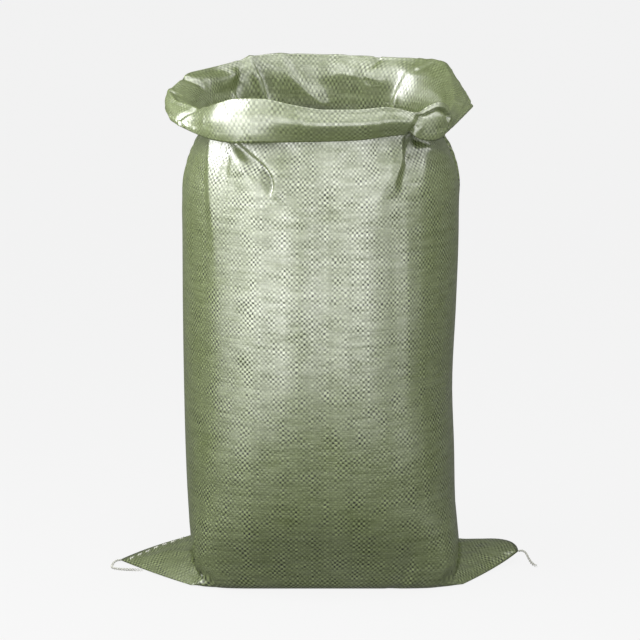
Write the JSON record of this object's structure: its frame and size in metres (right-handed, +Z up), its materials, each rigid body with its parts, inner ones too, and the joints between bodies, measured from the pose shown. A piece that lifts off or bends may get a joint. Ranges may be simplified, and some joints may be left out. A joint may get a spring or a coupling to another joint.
{
  "type": "cement bag",
  "caption": "Full woven sack of cement standing open on its squared base, with flat sewn corner ears on the floor and its top turned down outside as a cuff.",
  "frame": {"origin": "on the floor under the middle of the sack's base", "axes": "+Z up, the sack's front faces -Y, and the ears point along -X and +X"},
  "size_m": [0.5017, 0.3174, 0.587],
  "materials": {
    "woven_plastic": "semi-gloss plain weave of flat grey-green plastic tapes",
    "cement_powder": "dull loose powder",
    "sewing_thread": "dull twisted thread"
  },
  "bodies": {
    "root": {"sack": "woven_plastic", "cement_fill": "cement_powder", "seam_thread_left": "sewing_thread", "seam_thread_right": "sewing_thread", "thread_tail_left": "sewing_thread", "thread_tail_right": "sewing_thread"}
  },
  "joints": []
}
